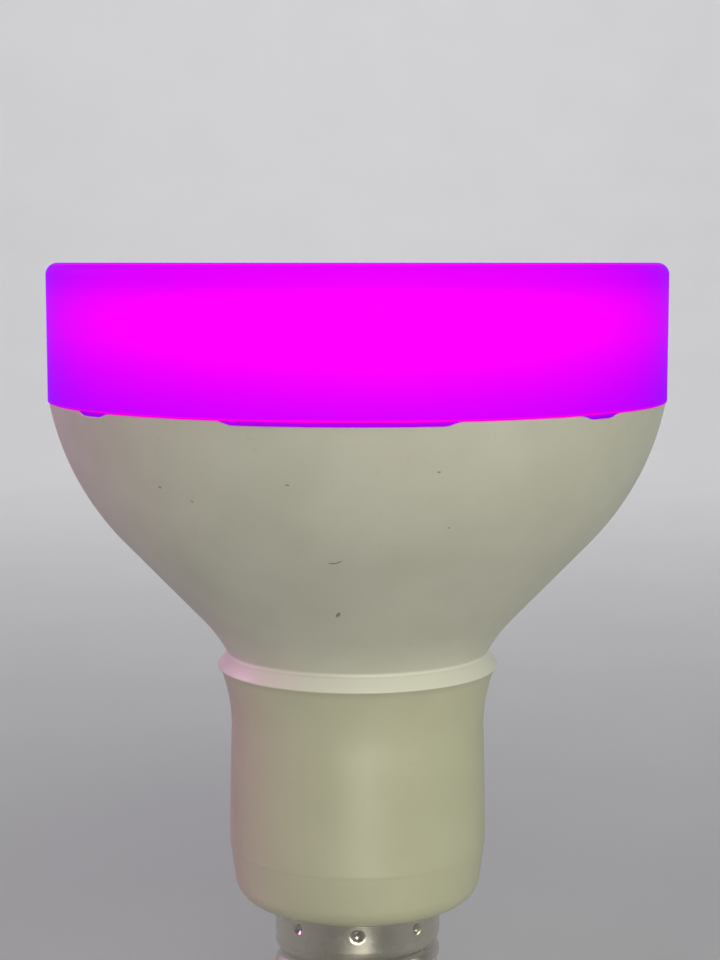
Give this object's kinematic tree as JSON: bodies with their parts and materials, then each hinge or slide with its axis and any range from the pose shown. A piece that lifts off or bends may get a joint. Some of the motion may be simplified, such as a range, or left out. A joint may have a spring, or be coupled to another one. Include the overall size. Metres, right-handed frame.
{
  "type": "smart light bulb",
  "caption": "Colour LED flood bulb with a flat drum lens, smooth bowl, flared neck collar and standard screw cap, with wireless control inside.",
  "frame": {"origin": "on the bulb's axis at the tip of the centre contact, where the bulb seats in its holder", "axes": "+Z along the axis from the cap to the lens; +Y is the back face of the driver board inside"},
  "size_m": [0.095, 0.095, 0.127],
  "materials": {
    "frosted_lens": "frosted moulded polycarbonate, lit magenta from behind",
    "bone_plastic": "satin moulded PBT, warm bone white",
    "collar_plastic": "satin moulded PBT, warm bone white, a shade yellower than the bowl",
    "silicone": "cured white silicone",
    "spun_aluminium": "spun sheet, plain",
    "thermal_silicone": "soft grey thermal pad",
    "white_solder_mask": "aluminium-core board under white solder mask",
    "white_reflector": "moulded white polycarbonate reflector",
    "warm_phosphor": "LED package with warm phosphor",
    "cool_phosphor": "LED package with cool phosphor",
    "red_led": "LED package, red",
    "green_led": "LED package, green",
    "blue_led": "LED package, blue",
    "zinc_steel": "zinc-plated steel",
    "green_board": "glass-epoxy board under green solder mask",
    "tinned_sheet": "tin-plated steel sheet",
    "copper_trace": "gold-flashed copper trace",
    "white_nylon": "white nylon connector body",
    "black_nylon": "black nylon",
    "gold_pin": "gold-flashed pins",
    "ferrite": "sintered ferrite",
    "yellow_tape": "winding under yellow polyester tape",
    "enamelled_copper": "enamelled copper winding",
    "capacitor_can": "drawn aluminium can",
    "capacitor_sleeve": "shrunk dark blue sleeve",
    "dipped_film": "dipped epoxy, ochre",
    "blue_epoxy": "dipped epoxy, blue",
    "resistor_coat": "flameproof green coat",
    "moulded_epoxy": "moulded black epoxy package",
    "chip_ceramic": "chip capacitor ceramic",
    "solder": "bright tin solder and tinned wire",
    "red_insulation": "red PVC insulation",
    "white_insulation": "white PVC insulation",
    "nickel_brass": "nickel-plated brass sheet, rolled thread",
    "black_insulator": "black moulded insulator",
    "contact_metal": "nickel-plated brass contact"
  },
  "bodies": {
    "root": {"diffuser_lens": "frosted_lens", "lens_adhesive": "silicone", "upper_housing": "bone_plastic", "neck_collar": "collar_plastic", "aluminium_lining": "spun_aluminium", "led_plate": "spun_aluminium", "thermal_pad": "thermal_silicone", "led_board": "white_solder_mask", "reflector_ring": "white_reflector", "warm_white_leds": "warm_phosphor", "cool_white_leds": "cool_phosphor", "red_leds": "red_led", "green_leds": "green_led", "blue_leds": "blue_led", "board_screws": "zinc_steel", "wireless_board": "green_board", "wireless_shield_can": "tinned_sheet", "antenna_trace": "copper_trace", "board_socket": "white_nylon", "header_strip": "black_nylon", "header_pins": "gold_pin", "driver_board": "green_board", "transformer_core": "ferrite", "transformer_bobbin": "black_nylon", "transformer_winding": "yellow_tape", "choke_core": "ferrite", "choke_winding": "enamelled_copper", "bulk_capacitor": "capacitor_can", "output_capacitor": "capacitor_can", "capacitor_sleeves": "capacitor_sleeve", "film_capacitor": "dipped_film", "varistor": "blue_epoxy", "fuse_resistor": "resistor_coat", "bridge_rectifier": "moulded_epoxy", "driver_chip": "moulded_epoxy", "colour_driver_chip": "moulded_epoxy", "diodes": "moulded_epoxy", "chip_legs": "solder", "chip_resistors": "moulded_epoxy", "chip_capacitors": "chip_ceramic", "component_leads": "solder", "solder_joints": "solder", "live_wire": "red_insulation", "neutral_wire": "white_insulation", "screw_shell": "nickel_brass", "cap_insulator": "black_insulator", "centre_contact": "contact_metal"}
  },
  "joints": []
}
